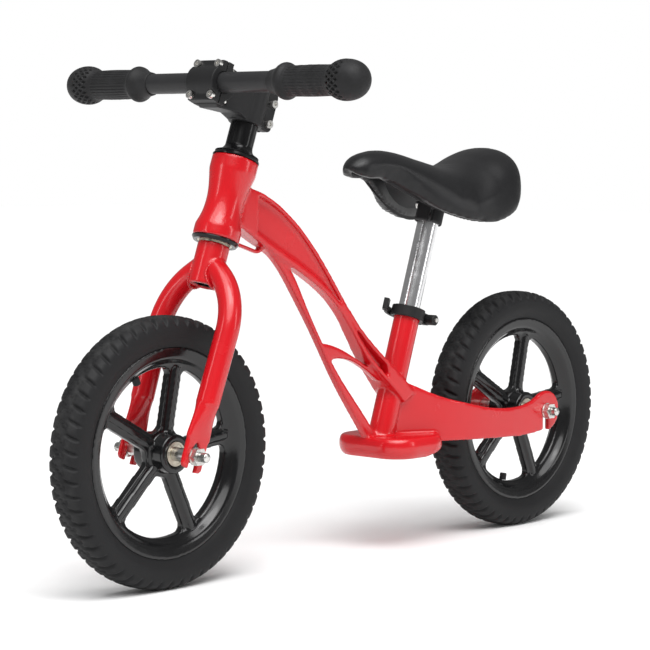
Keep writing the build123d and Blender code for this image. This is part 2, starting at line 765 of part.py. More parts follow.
def rear_shape():
    """Both chainstays, the block that joins them to the seat tube, and the dropout bosses."""
    with BuildPart() as rear:
        with BuildSketch(side_plane(0)):
            with BuildLine():
                top = Spline((-64, 200), (-92, 188), (-117, 176), (-154, 165.6), (-192, 157.3),
                             (-231, 154), (-262, 156),
                             (-288, 166))
                low = Spline((-64, 122), (-136, 122), (-212, 119.5), (-256, 118.5), (-292, 121.5))
                Line(top @ 0, low @ 0)
                Line(top @ 1, low @ 1)
            make_face()
            with Locations((rear_x - 1.0, axle_z)):
                Circle(dropout_boss_radius)
        extrude(amount=stay_outer + 1.0, both=True)
        with BuildSketch(Plane.XY):
            with BuildLine():
                left = Spline((-62, 8.0), (-86, 18.0), (-112, 33.0), (-142, 45.0), (-185, 51.0),
                              (-235, stay_outer))
                right = Spline((-62, -8.0), (-86, -18.0), (-112, -33.0), (-142, -45.0),
                               (-185, -51.0), (-235, -stay_outer))
                back = rear_x - dropout_boss_radius - 4.0
                Polyline(left @ 1, (back, stay_outer), (back, -stay_outer), right @ 1)
                Line(left @ 0, right @ 0)
            make_face()
            # the slot that the rear wheel turns in
            with BuildLine():
                inside = Spline((wheel_slot_front, 0), (wheel_slot_front - 10, 20), (-168, 36.0),
                                (-210, 43.5),
                                (-240, stay_inner), tangents=[(0, 1), (-1, 0)])
                outside = Spline((wheel_slot_front, 0), (wheel_slot_front - 10, -20),
                                 (-168, -36.0), (-210, -43.5),
                                 (-240, -stay_inner), tangents=[(0, -1), (-1, 0)])
                Polyline(inside @ 1, (back - 5, stay_inner), (back - 5, -stay_inner), outside @ 1)
            make_face(mode=Mode.SUBTRACT)
        extrude(amount=300.0, mode=Mode.INTERSECT)
    return rear.part


def foot_plate_shape():
    """Rounded plate for the rider's feet, rising at the back to meet the stays, hollow below."""
    length = plate_front - plate_back
    middle = (plate_front + plate_back) / 2
    with BuildPart() as plate:
        for height, inset in plate_round:
            with BuildSketch(Plane.XY.offset(height)):
                with Locations((middle, 0)):
                    RectangleRounded(length - 2 * inset, 2 * (plate_half - inset), 34.0 - inset)
        loft()
        with BuildSketch(side_plane(0)):
            with BuildLine():
                Polyline((middle - 6, plate_low - 5), (middle - 6, plate_low),
                         (plate_back - 2, plate_low + 13),
                         (plate_back - 2, plate_low - 5), close=True)
            make_face()
        extrude(amount=plate_half + 5, both=True, mode=Mode.SUBTRACT)
        with BuildSketch(Plane.XY.offset(plate_low - 1)):
            with Locations((middle, 0)):
                RectangleRounded(length - 34, 2 * plate_half - 34, 18.0)
        extrude(amount=plate_high - plate_low - plate_wall + 1, mode=Mode.SUBTRACT)
    return plate.part


def strap_eye_shape():
    """Small eye under the top beam, behind the foot of the head tube."""
    with BuildPart() as eye:
        with BuildSketch(side_plane(0)):
            with BuildLine():
                Polyline((188, 359.5), (158, 350), (151, 351.5), (146.5, 357.5), (151, 360.5),
                         (154.5, 355.5),
                         (158.5, 354.2), (188, 363.5), close=True)
            make_face()
        extrude(amount=4.0, both=True)
    return eye.part


def build_frame():
    """The whole casting, with the bores and slots cut after the members are joined."""
    with BuildPart() as frame:
        add(foot_plate_shape())
        add(rear_shape())
        with BuildSketch(seat_base):
            Circle(seat_tube_radius)
        extrude(amount=seat_tube_top)
        add(top_beam_shape())
        add(lower_beams_shape())
        add(head_tube_shape())
        add(strap_eye_shape())
        with BuildSketch(steer_base.offset(head_low - 5.0)):
            Circle(head_bore_radius)
        extrude(amount=head_high - head_low + 10.0, mode=Mode.SUBTRACT)
        with BuildSketch(seat_base.offset(seat_tube_floor)):
            Circle(post_radius + running_fit)
        extrude(amount=seat_tube_top + 20.0, mode=Mode.SUBTRACT)
        # split at the back of the seat tube, so that the collar can squeeze it
        with BuildSketch(seat_side):
            with Locations((-seat_tube_radius, seat_tube_top - 14.0)):
                Rectangle(12.0, 30.0)
        extrude(amount=1.2, both=True, mode=Mode.SUBTRACT)
        # open slots for the rear axle
        with BuildSketch(side_plane(0)):
            with Locations((rear_x, axle_z)):
                Circle(axle_radius + 0.25)
            with Locations((rear_x, axle_z - 20.0)):
                Rectangle(2 * (axle_radius + 0.25), 40.0)
        extrude(amount=80.0, both=True, mode=Mode.SUBTRACT)
    keep(frame, "frame")


# ---------------------------------------------------------------- seat post clamp

def build_seat_clamp():
    """Split collar, skewer with its nut, cam pin and quick-release lever."""
    middle = (collar_low + collar_high) / 2
    height = collar_high - collar_low
    with BuildPart() as collar:
        with BuildSketch(seat_base.offset(collar_low)):
            Circle(collar_radius)
            with Locations((-(ear_back + 10.0) / 2, 0)):
                Rectangle(ear_back - 10.0, 2 * ear_half)
        extrude(amount=height)
        fillet(collar.edges().filter_by(Axis.Y).sort_by(Axis(seat_foot, seat_ahead))[:2], radius=4.5)
        with BuildSketch(seat_base.offset(collar_low)):
            Circle(seat_tube_radius + 0.1)
        extrude(amount=seat_tube_top + 0.2 - collar_low, mode=Mode.SUBTRACT)
        with BuildSketch(seat_base.offset(collar_low)):
            Circle(post_radius + 0.4)
            with Locations((-ear_back / 2, 0)):
                Rectangle(ear_back + 10.0, 2.4)
        extrude(amount=height, mode=Mode.SUBTRACT)
        with BuildSketch(seat_side):
            with Locations((-skewer_back, middle)):
                Circle(skewer_radius + 0.1)
        extrude(amount=20.0, both=True, mode=Mode.SUBTRACT)
    keep(collar, "seat_clamp_collar")

    with BuildPart() as skewer:
        with BuildSketch(seat_side.offset(cam_side - cam_pin_radius + 0.5)):
            with Locations((-skewer_back, middle)):
                Circle(skewer_radius)
        extrude(amount=-(cam_side - cam_pin_radius + 0.5) - 23.5)
    keep(skewer, "seat_clamp_skewer")

    with BuildPart() as nut:
        with BuildSketch(seat_side.offset(-ear_half)):
            with Locations((-skewer_back, middle)):
                Circle(6.2)
                Circle(skewer_radius + running_fit, mode=Mode.SUBTRACT)
        extrude(amount=-12.5)
        chamfer(nut.edges().filter_by(GeomType.CIRCLE).filter_by(lambda e: e.radius > 6.0), length=0.9)
    keep(nut, "seat_clamp_nut")

    pivot = (-skewer_back, -cam_side)
    with BuildPart() as pin:
        with BuildSketch(seat_base.offset(collar_low + 0.5)):
            with Locations(pivot):
                Circle(cam_pin_radius)
        extrude(amount=height - 1.0)
        with BuildSketch(seat_side.offset(cam_side - cam_pin_radius + 0.5)):
            with Locations((-skewer_back, middle)):
                Circle(skewer_radius + running_fit)
        extrude(amount=-10.0, mode=Mode.SUBTRACT)
    keep(pin, "seat_clamp_cam_pin")

    with BuildPart() as cam_seat:
        with BuildSketch(seat_side.offset(ear_half)):
            with Locations((-skewer_back, middle)):
                Circle(5.8)
                Circle(skewer_radius + 0.1, mode=Mode.SUBTRACT)
        extrude(amount=0.9)
    keep(cam_seat, "seat_clamp_washer")

    with BuildPart() as lever:
        with BuildSketch(seat_base.offset(collar_low + 0.5)):
            with Locations(pivot):
                Circle(cam_radius)
        extrude(amount=height - 1.0)
        # arm that follows the collar to the front
        with BuildSketch(seat_base.offset(collar_low + 2.0)):
            with BuildLine():
                outer = Spline((-skewer_back, -cam_side - cam_radius), (-8.0, -lever_side - 3.4),
                               (12.0, -lever_side),
                               (27.0, -13.0))
                inner = Spline((-skewer_back + 4.0, -cam_side - 2.0), (-8.0, -lever_side + 0.6),
                               (11.0, -lever_side + 3.6),
                               (24.5, -11.0))
                Line(outer @ 0, inner @ 0)
                Line(outer @ 1, inner @ 1)
            make_face()
        extrude(amount=height - 4.0)
        # thumb tip, a little taller than the collar
        with BuildSketch(seat_base.offset(collar_low + 3.0)):
            with BuildLine():
                Polyline((20.0, -13.0), (29.5, -7.0), (33.0, -12.0), (23.0, -20.0), close=True)
            make_face()
        extrude(amount=height + 0.5)
        with BuildSketch(seat_base.offset(collar_low - 1.0)):
            with Locations(pivot):
                Circle(cam_pin_radius + running_fit)
        extrude(amount=height + 4.0, mode=Mode.SUBTRACT)
        # slot through the cam for the skewer as the lever turns
        with BuildSketch(seat_base.offset(middle - skewer_radius - 0.4)):
            with Locations((-skewer_back - 7.0, -cam_side)):
                Rectangle(20.0, 30.0)
        extrude(amount=2 * skewer_radius + 0.8, mode=Mode.SUBTRACT)
    keep(lever, "seat_clamp_lever")


# ---------------------------------------------------------------- saddle

def saddle_section(x, half, skirt, crown, drop):
    """Arched section across the saddle: a thick arch, open below."""
    with BuildSketch(Plane(origin=(x, 0, 0), x_dir=(0, 1, 0), z_dir=(1, 0, 0))) as section:
        with BuildLine():
            over = ThreePointArc((-half, skirt), (0, crown), (half, skirt))
            inner = half - drop / 2
            under = ThreePointArc((-inner, skirt), (0, crown - drop), (inner, skirt))
            Line(over @ 0, under @ 0)
            Line(over @ 1, under @ 1)
        make_face()
    return section.sketch


def build_saddle():
    """Seat post, moulded base with a slotted socket, the cushion and the cross bolt."""
    with BuildPart() as post:
        add(ring(seat_base.offset(post_low),
            post_radius, post_radius - post_wall, post_high - post_low).part)
        with BuildSketch(seat_side):
            with Locations((0, clamp_bolt_at)):
                Circle(3.0 + running_fit)
        extrude(amount=30.0, both=True, mode=Mode.SUBTRACT)
    keep(post, "seat_post")

    with BuildPart() as cushion:
        loft(sections=[saddle_section(x, half, skirt, crown, min(cushion_thick, half - 2.5))
                       for x, half, skirt, crown in saddle_stations])
    keep(cushion, "saddle_cushion")

    with BuildPart() as base:
        loft(sections=[saddle_section(x, half - cushion_thick / 2 - 0.5, skirt + 2.0,
             crown - cushion_thick - 0.8,
                                      base_thick)
                       for x, half, skirt, crown in saddle_stations[1:-1]])
        with BuildSketch(seat_base.offset(socket_low)):
            Circle(socket_radius)
        extrude(amount=socket_high - socket_low)
        add(cushion.part, mode=Mode.SUBTRACT)
        with BuildSketch(seat_base.offset(socket_low - 1.0)):
            Circle(post_radius + running_fit)
        extrude(amount=post_high - socket_low + 1.2, mode=Mode.SUBTRACT)
        for turn in (45.0, -45.0):
            with BuildSketch(seat_base.offset(socket_low - 1.0)):
                with Locations(Rotation(0, 0, turn)):
                    Rectangle(60.0, 3.6)
            extrude(amount=16.0, mode=Mode.SUBTRACT)
        with BuildSketch(seat_side):
            with Locations((0, clamp_bolt_at)):
                Circle(3.0 + running_fit)
        extrude(amount=30.0, both=True, mode=Mode.SUBTRACT)
    keep(base, "saddle_base")

    with BuildPart() as bolt:
        bolt_at = (0, clamp_bolt_at)
        half_grip = socket_radius + 0.1
        with BuildSketch(seat_side.offset(-half_grip)):
            with Locations(bolt_at):
                Circle(4.8)
        extrude(amount=-3.4)
        with BuildSketch(seat_side.offset(-half_grip)):
            with Locations(bolt_at):
                Circle(3.0)
        extrude(amount=2 * half_grip + 5.0)
        with BuildSketch(seat_side.offset(half_grip)):
            with Locations(bolt_at):
                RegularPolygon(5.2, 6)
        extrude(amount=4.6)
        with BuildSketch(seat_side.offset(-half_grip - 3.4)):
            with Locations(bolt_at):
                RegularPolygon(2.4, 6)
        extrude(amount=2.0, mode=Mode.SUBTRACT)
    keep(bolt, "saddle_clamp_bolt")


os.makedirs("parts", exist_ok=True)
build_frame()
build_headset()
build_fork()
build_steerer()
build_stem()
build_handlebar()
for wheel_label, wheel_x, wheel_turn, plug_at in (
        ("front", front_x, front_spoke_turn, front_spoke_turn - 36.0),
        ("rear", rear_x, rear_spoke_turn, rear_spoke_turn + 180.0)):
    build_rim(wheel_x, wheel_turn, f"{wheel_label}_wheel")
    build_tyre(wheel_x, f"{wheel_label}_tyre")
    build_wheel_fittings(wheel_x, plug_at, wheel_label)
build_seat_clamp()
build_saddle()
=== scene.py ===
# %% [markdown]
# A child's balance bike, dressed over its engineering model. Every tube, bolt and bearing
# already has its true size and place in that model, so this script never moves them. It gives
# each piece its finish, and rebuilds those whose surface carries detail: the cast frame, the
# welded fork, the tyres with their tread, the ribbed grips and the padded saddle.

# %% Load the engineering model
import json
import math

import bmesh
import bpy
from mathutils import Matrix, Vector, noise

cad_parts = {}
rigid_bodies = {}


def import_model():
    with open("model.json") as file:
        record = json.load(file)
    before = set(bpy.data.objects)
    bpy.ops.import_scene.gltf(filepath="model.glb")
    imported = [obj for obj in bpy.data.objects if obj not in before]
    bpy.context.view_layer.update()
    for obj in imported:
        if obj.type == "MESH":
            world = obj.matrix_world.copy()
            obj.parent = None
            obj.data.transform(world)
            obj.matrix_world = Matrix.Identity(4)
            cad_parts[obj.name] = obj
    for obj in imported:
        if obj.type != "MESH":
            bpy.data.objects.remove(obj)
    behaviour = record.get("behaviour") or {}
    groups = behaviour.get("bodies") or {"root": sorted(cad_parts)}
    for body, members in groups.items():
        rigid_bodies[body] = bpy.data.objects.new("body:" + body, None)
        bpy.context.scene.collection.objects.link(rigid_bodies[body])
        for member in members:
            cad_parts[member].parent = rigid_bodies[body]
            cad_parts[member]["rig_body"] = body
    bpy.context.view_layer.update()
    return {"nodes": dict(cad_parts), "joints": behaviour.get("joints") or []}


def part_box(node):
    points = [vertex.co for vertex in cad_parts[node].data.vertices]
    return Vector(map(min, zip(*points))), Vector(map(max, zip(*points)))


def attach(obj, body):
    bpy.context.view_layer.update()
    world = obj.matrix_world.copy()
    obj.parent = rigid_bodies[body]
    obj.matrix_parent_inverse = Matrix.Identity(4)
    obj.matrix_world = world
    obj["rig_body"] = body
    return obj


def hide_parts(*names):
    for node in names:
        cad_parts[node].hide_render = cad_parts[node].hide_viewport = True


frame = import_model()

nodes = frame["nodes"]
print("engineering model:", len(nodes), "nodes")

# %% [markdown]
# The camera stands low, in front of the bike and on its left, and looks a little down. A long
# lens keeps the two wheels nearly the same size. It is built from a target point, a direction
# and a distance, because those are easier to reason about than three rotation angles.

# %% Camera
AIM = Vector((0.0450, 0.0, 0.2660))
TURN = math.radians(132.44)
RISE = math.radians(4.30)
ROLL = math.radians(0.175)
DISTANCE = 2.6845
FOCAL = 131.6

back = Vector((math.sin(TURN) * math.cos(RISE), -math.cos(TURN) * math.cos(RISE), math.sin(RISE)))
right = back.cross(Vector((0, 0, 1))) * -1
right.normalize()
up = back.cross(right)
right, up = right * math.cos(ROLL) + up * math.sin(ROLL), up * math.cos(ROLL) - right * math.sin(ROLL)
lens = bpy.data.cameras.new("camera")
lens.lens = FOCAL
lens.sensor_width = 36.0
lens.clip_end = 50.0
camera = bpy.data.objects.new("camera", lens)
facing = Matrix((right, up, back)).transposed().to_4x4()
camera.matrix_world = Matrix.Translation(AIM + back * DISTANCE) @ facing
bpy.context.scene.collection.objects.link(camera)
bpy.context.scene.camera = camera
print("camera at", [round(v, 3) for v in camera.matrix_world.translation])

# %% [markdown]
# The bike stands on a pale floor. A very soft sun lights floor and bike evenly, because a lamp
# nearby would leave the far floor grey and draw a horizon. The room beyond is white to look at
# but dim as a lamp: gloss paint mirrors its surroundings, and a bright sky all round would wash
# the red out. One big lamp above gives the long highlights along the painted tubes, and two tall
# ones at the sides lift the edges of the black pieces.

# %% Floor and light
world = bpy.data.worlds.new("studio")
world.use_nodes = True
sky = world.node_tree.nodes["Background"]
sky.inputs["Color"].default_value = (1.0, 1.0, 1.0, 1.0)
seen = world.node_tree.nodes.new("ShaderNodeLightPath")
level = world.node_tree.nodes.new("ShaderNodeMapRange")
level.inputs["To Min"].default_value = 0.22
level.inputs["To Max"].default_value = 1.0
world.node_tree.links.new(seen.outputs["Is Camera Ray"], level.inputs["Value"])
world.node_tree.links.new(level.outputs["Result"], sky.inputs["Strength"])
bpy.context.scene.world = world
bpy.context.scene.view_settings.view_transform = "Standard"


def lamp(name, place, target, size, power):
    """A square soft box that faces a target."""
    data = bpy.data.lights.new(name, "AREA")
    data.shape = "RECTANGLE"
    data.size, data.size_y = size
    data.energy = power
    made = bpy.data.objects.new(name, data)
    away = Vector(place) - Vector(target)
    made.matrix_world = Matrix.Translation(place) @ away.to_track_quat("Z", "Y").to_matrix().to_4x4()
    bpy.context.scene.collection.objects.link(made)
    return made


lamp("key_lamp", (0.7, 1.1, 2.4), (0.0, 0.0, 0.2), (1.5, 0.9), 20.0)
lamp("side_lamp", (-1.2, 2.6, 1.1), (-0.1, 0.0, 0.3), (0.4, 1.5), 9.0)
lamp("front_lamp", (2.7, -0.7, 1.1), (0.1, 0.0, 0.3), (0.35, 1.5), 8.0)
sun = bpy.data.lights.new("soft_sun", "SUN")
sun.energy = 3.3
sun.angle = math.radians(65)
sun_stand = bpy.data.objects.new("soft_sun", sun)
sun_stand.matrix_world = Vector((0.30, 0.35, 1.0)).to_track_quat("Z", "Y").to_matrix().to_4x4()
bpy.context.scene.collection.objects.link(sun_stand)
print("a soft sun, three lamps and a white sky")

# %% [markdown]
# Finishes are node networks. To keep them readable, one small class wraps a node's output so
# that ordinary arithmetic adds the Math nodes, and one method adds any other node.

# %% Shader helpers
class Signal:
    """A number that varies over a surface; arithmetic on it adds Math nodes."""

    def __init__(self, finish, socket):
        self.finish = finish
        self.socket = socket

    def math(self, operation, *values):
        return self.finish.node("Math", {"operation": operation}, dict(enumerate(values)))

    def __add__(self, other):
        return self.math("ADD", self, other)

    def __sub__(self, other):
        return self.math("SUBTRACT", self, other)

    def __rsub__(self, other):
        return self.math("SUBTRACT", other, self)

    def __mul__(self, other):
        return self.math("MULTIPLY", self, other)

    __radd__ = __add__
    __rmul__ = __mul__

    def between(self, low, high):
        """0 below low, 1 above high, smooth in between."""
        return self.finish.node("MapRange", {"interpolation_type": "SMOOTHSTEP"},
                                {"Value": self, "From Min": low, "From Max": high})


class Finish:
    """A material being put together round one Principled shader."""

    def __init__(self, name, **constants):
        self.material = bpy.data.materials.new(name)
        self.material.use_nodes = True
        self.tree = self.material.node_tree
        self.tree.nodes.clear()
        self.shader = self.tree.nodes.new("ShaderNodeBsdfPrincipled")
        out = self.tree.nodes.new("ShaderNodeOutputMaterial")
        self.tree.links.new(self.shader.outputs[0], out.inputs["Surface"])
        for socket, value in constants.items():
            self.shader.inputs[socket.replace("_", " ")].default_value = value
        self.place = self.node("TexCoord", output="Object")

    def feed(self, socket, value):
        if isinstance(value, Signal):
            self.tree.links.new(value.socket, socket)
        else:
            socket.default_value = value

    def node(self, kind, settings=None, sockets=None, output=0):
        """Add one node: its settings first, then the values or links of its sockets."""
        made = self.tree.nodes.new("ShaderNode" + kind)
        for key, value in (settings or {}).items():
            setattr(made, key, value)
        for key, value in (sockets or {}).items():
            self.feed(made.inputs[key], value)
        return Signal(self, made.outputs[output])

    def grain(self, scale, detail=3.0, rough=0.55):
        """Soft noise from 0 to 1; scale counts features per metre."""
        return self.node("TexNoise", {}, {"Vector": self.place, "Scale": scale, "Detail": detail,
                                          "Roughness": rough})

    def mix(self, factor, first, second):
        """Blend two colours."""
        node = self.tree.nodes.new("ShaderNodeMix")
        node.data_type = "RGBA"
        self.feed(node.inputs["Factor"], factor)
        self.feed(node.inputs[6], first)
        self.feed(node.inputs[7], second)
        return Signal(self, node.outputs[2])

    def set(self, **sockets):
        for socket, value in sockets.items():
            self.feed(self.shader.inputs[socket.replace("_", " ")], value)
        return self

    def relief(self, height, distance, strength=1.0):
        """Fine relief on the surface; distance is its depth in metres."""
        bump = self.node("Bump", {}, {"Height": height, "Distance": distance, "Strength": strength})
        self.feed(self.shader.inputs["Normal"], bump)
        return self


def colour(red, green, blue):
    return (red, green, blue, 1.0)


# %% [markdown]
# The frame and the fork share one gloss enamel. Real enamel is never quite flat: it has a
# faint orange peel, its colour is a little deeper where it is thick, and handling leaves dull
# patches. A clear coat on top gives the sharp highlight over the softer one of the pigment.

# %% Red enamel
def red_enamel():
    finish = Finish("red_enamel", Coat_Weight=0.35, Coat_Roughness=0.08, Specular_IOR_Level=0.4)
    pool = finish.grain(6.0, 2.0)
    handling = finish.grain(24.0, 4.0).between(0.45, 0.85)
    speck = finish.grain(900.0, 2.0)
    finish.set(Base_Color=finish.mix(pool.between(0.3, 0.7), colour(0.52, 0.004, 0.009),
                                     colour(0.58, 0.005, 0.010)),
               Roughness=0.24 + handling * 0.05 + speck * 0.02)
    return finish.relief(finish.grain(420.0, 1.5) + speck * 0.15, 0.00003, 0.35).material


RED_ENAMEL = red_enamel()
print("finish:", RED_ENAMEL.name)

# %% [markdown]
# The wheels are shot in glossy black plastic, which shows faint flow marks. The saddle's shell
# and the plugs come from a textured mould, and the grips are soft rubber that scatters light.
# All three are the same dark grey: only their relief and roughness tell them apart.

# %% Plastics and rubber
def gloss_wheel_plastic():
    finish = Finish("gloss_wheel_plastic", Specular_IOR_Level=0.38, Coat_Weight=0.15, Coat_Roughness=0.08)
    flow = finish.grain(26.0, 3.0)
    smear = finish.grain(120.0, 4.0).between(0.5, 0.8)
    finish.set(Base_Color=finish.mix(flow, colour(0.004, 0.004, 0.0045), colour(0.008, 0.008, 0.0085)),
               Roughness=0.16 + smear * 0.07 + flow * 0.04)
    return finish.relief(finish.grain(240.0, 1.0), 0.00005, 0.35).material


def moulded_grain():
    finish = Finish("moulded_grain", Specular_IOR_Level=0.28)
    cell = finish.node("TexVoronoi", {"feature": "F1"}, {"Vector": finish.place, "Scale": 900.0})
    cloud = finish.grain(45.0, 3.0)
    finish.set(Base_Color=finish.mix(cloud, colour(0.009, 0.009, 0.010), colour(0.016, 0.016, 0.017)),
               Roughness=0.48 + cell * 0.15 + cloud * 0.08)
    return finish.relief(cell, 0.00012, 0.5).material


def grip_rubber():
    finish = Finish("grip_rubber", Specular_IOR_Level=0.26, Sheen_Weight=0.03, Sheen_Roughness=0.5)
    bloom = finish.grain(60.0, 4.0)
    fine = finish.grain(2600.0, 2.0)
    finish.set(Base_Color=finish.mix(bloom.between(0.35, 0.75), colour(0.008, 0.008, 0.0085),
                                     colour(0.015, 0.015, 0.016)),
               Roughness=0.52 + bloom * 0.12)
    return finish.relief(fine, 0.00006, 0.6).material


WHEEL_PLASTIC = gloss_wheel_plastic()
MOULDED_GRAIN = moulded_grain()
GRIP_RUBBER = grip_rubber()
print("finishes:", WHEEL_PLASTIC.name, MOULDED_GRAIN.name, GRIP_RUBBER.name)

# %% [markdown]
# The tyre is one piece of closed-cell foam. Its skin is matt and full of tiny pits. Its crown
# is painted a patchy lighter grey than the side walls, a painted sheen, and is a little rougher.

# %% Tyre foam
def tyre_foam():
    finish = Finish("tyre_foam", Specular_IOR_Level=0.20)
    pits = finish.node("TexVoronoi", {"feature": "F1"}, {"Vector": finish.place, "Scale": 1100.0})
    cloud = finish.grain(55.0, 5.0)
    # The crown of the tread, read from the mesh, is where the painted sheen goes.
    crown_sheen_mask = finish.node("Attribute", {"attribute_name": "crown"}, output="Fac")
    base = finish.mix(cloud, colour(0.009, 0.009, 0.0095), colour(0.015, 0.015, 0.016))
    # Painted sheen: the crown is blended in patches towards a lighter grey.
    finish.set(Base_Color=finish.mix(crown_sheen_mask * cloud.between(0.35, 0.7) * 0.5, base, colour(0.036, 0.036, 0.036)),
               Roughness=0.50 + cloud * 0.14 + crown_sheen_mask * 0.06)
    return finish.relief(pits + finish.grain(500.0, 3.0), 0.00016, 0.45).material


TYRE_FOAM = tyre_foam()
print("finish:", TYRE_FOAM.name)

# %% [markdown]
# Four metal finishes cover the rest. The stem and the clamp have a dry black powder coat, the
# bar and the tall cover a smoother one. The post is chromed steel, whose fine ripples break up
# its reflections, and the fasteners are zinc plated, with the milky tone that zinc has.

# %% Metals and black coats
def black_coat(name, base, roughness, lumps, depth):
    finish = Finish(name, Specular_IOR_Level=0.24)
    cloud = finish.grain(50.0, 4.0)
    light = base * 1.5
    finish.set(Base_Color=finish.mix(cloud, colour(base, base, base * 1.06), colour(light, light, base * 1.56)),
               Roughness=roughness + cloud * 0.10)
    return finish.relief(finish.grain(lumps, 2.0), depth, 0.5).material


def chrome_plate():
    finish = Finish("chrome_plate", Specular_IOR_Level=0.5)
    ripple = finish.grain(260.0, 3.0)
    wipe = finish.grain(70.0, 5.0).between(0.5, 0.8)
    finish.set(Base_Color=finish.mix(wipe, colour(0.84, 0.84, 0.85), colour(0.70, 0.70, 0.71)),
               Roughness=0.19 + wipe * 0.10, Metallic=1.0 - wipe * 0.04)
    return finish.relief(ripple, 0.00012, 0.5).material


def plated_steel(name, light, dark, roughness):
    finish = Finish(name)
    cloud = finish.grain(160.0, 5.0)
    stain = finish.grain(700.0, 2.0)
    finish.set(Base_Color=finish.mix(cloud.between(0.3, 0.75), dark, light),
               Roughness=roughness + cloud * 0.18, Metallic=1.0 - stain * 0.05)
    return finish.relief(stain + cloud, 0.00005, 0.5).material


POWDER_COAT = black_coat("powder_coat", 0.010, 0.42, 1400.0, 0.00010)
BAR_COAT = black_coat("bar_coat", 0.018, 0.38, 900.0, 0.00005)
GLOSS_BLACK = black_coat("gloss_black", 0.006, 0.13, 500.0, 0.00003)
CHROME = chrome_plate()
ZINC = plated_steel("zinc_plate", colour(0.78, 0.77, 0.74), colour(0.55, 0.54, 0.52), 0.20)
RACE_STEEL = plated_steel("race_steel", colour(0.66, 0.62, 0.53), colour(0.42, 0.38, 0.31), 0.28)
print("metal finishes ready")

# %% [markdown]
# The saddle has a soft coated cover with a leather print: small rounded cells, shallow enough
# that the whole still shines in a broad band.

# %% Saddle cover
def saddle_cover():
    finish = Finish("saddle_cover", Specular_IOR_Level=0.28, Sheen_Weight=0.02, Sheen_Roughness=0.4)
    cells = finish.node("TexVoronoi", {"feature": "SMOOTH_F1"}, {"Vector": finish.place, "Scale": 750.0})
    folds = finish.grain(70.0, 4.0)
    shine = finish.grain(14.0, 2.0)
    finish.set(Base_Color=finish.mix(folds, colour(0.007, 0.007, 0.0075), colour(0.013, 0.013, 0.014)),
               Roughness=0.27 + shine * 0.08 + cells * 0.08)
    return finish.relief(cells * -1.0 + folds * 0.4, 0.00014, 0.45).material


SADDLE_COVER = saddle_cover()
print("finish:", SADDLE_COVER.name)

# %% [markdown]
# Every new piece ends the same way: its mesh goes on an object at the origin, it is shaded
# smooth, takes its finish, rides on the body that carries it, and hides the plain node that it
# stands for.

# %% Common steps
def add_piece(name, mesh, finish, node, replaces=True):
    mesh.materials.clear()
    mesh.materials.append(finish)
    for face in mesh.polygons:
        face.use_smooth = True
    piece = bpy.data.objects.new(name, mesh)
    bpy.context.scene.collection.objects.link(piece)
    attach(piece, nodes[node]["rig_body"])
    if replaces:
        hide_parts(node)
    print(f"{name}: {len(mesh.polygons)} faces")
    return piece


def evaluated(mesh, *modifiers):
    """The mesh with modifiers worked into it; each modifier is its type and its settings."""
    holder = bpy.data.objects.new("holder", mesh)
    bpy.context.scene.collection.objects.link(holder)
    for kind, settings in modifiers:
        modifier = holder.modifiers.new(kind.lower(), kind)
        for key, value in settings.items():
            setattr(modifier, key, value)
    bpy.context.view_layer.update()
    made = bpy.data.meshes.new_from_object(holder.evaluated_get(bpy.context.evaluated_depsgraph_get()))
    bpy.data.objects.remove(holder)
    return made


def centre_of(node):
    low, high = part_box(node)
    return (low + high) / 2


def merged_copy(node):
    """A copy of a node's mesh, with its loose triangles joined."""
    bm = bmesh.new()
    bm.from_mesh(nodes[node].data)
    bmesh.ops.remove_doubles(bm, verts=bm.verts, dist=0.00001)
    mesh = bpy.data.meshes.new(node + "_copy")
    bm.to_mesh(mesh)
    bm.free()
    return mesh


# %% [markdown]
# A casting has no sharp inner corners: metal would tear there as it cools, so every member runs
# into the next with a fillet. Modelling dozens of fillets by hand is slow and fragile. Instead
# the merged mesh is sampled again on a fine grid and relaxed, which rounds every edge and fills
# every corner by about the same radius, just as the pattern maker's wax does. Welded, moulded
# and forged pieces are softened the same way, on a finer grid.

# %% Softened castings and mouldings
def softened(node, grid, rounds):
    return evaluated(merged_copy(node),
                     ("REMESH", {"mode": "VOXEL", "voxel_size": grid, "use_smooth_shade": True}),
                     ("SMOOTH", {"factor": 0.5, "iterations": rounds}))


for node, name, finish, grid, rounds in (
        ("frame", "frame_casting", RED_ENAMEL, 0.0015, 7),
        ("fork", "fork_tubes", RED_ENAMEL, 0.0011, 7),
        ("front_wheel", "front_wheel_moulding", WHEEL_PLASTIC, 0.0015, 4),
        ("rear_wheel", "rear_wheel_moulding", WHEEL_PLASTIC, 0.0015, 4),
        ("stem", "stem_forging", POWDER_COAT, 0.0008, 6),
        ("stem_faceplate", "faceplate_forging", POWDER_COAT, 0.0007, 4),
        ("seat_clamp_collar", "collar_ring", POWDER_COAT, 0.0006, 4),
        ("seat_clamp_lever", "lever_arm", POWDER_COAT, 0.0005, 4),
        ("saddle_base", "saddle_shell", MOULDED_GRAIN, 0.0012, 4)):
    add_piece(name, softened(node, grid, rounds), finish, node)

# %% [markdown]
# The fork's legs are welded to the crown tube by hand, and the bead is left as it cooled: a row
# of overlapping scales round each joint. Each scale is a small flattened ball, set along the
# line where the leg meets the crown, and the enamel covers them all.

# %% Weld beads
steer = next(j for j in frame["joints"] if j["name"] == "steering")
STEER_UP = Vector(steer["axis"]).normalized()
STEER_FOOT = Vector(steer["pos_m"])
STEER_AHEAD = Vector((0, 1, 0)).cross(STEER_UP)


def on_steering(ahead, across, height):
    """A point given along the steering axis, in metres."""
    return STEER_FOOT + STEER_AHEAD * ahead + Vector((0, across, 0)) + STEER_UP * height


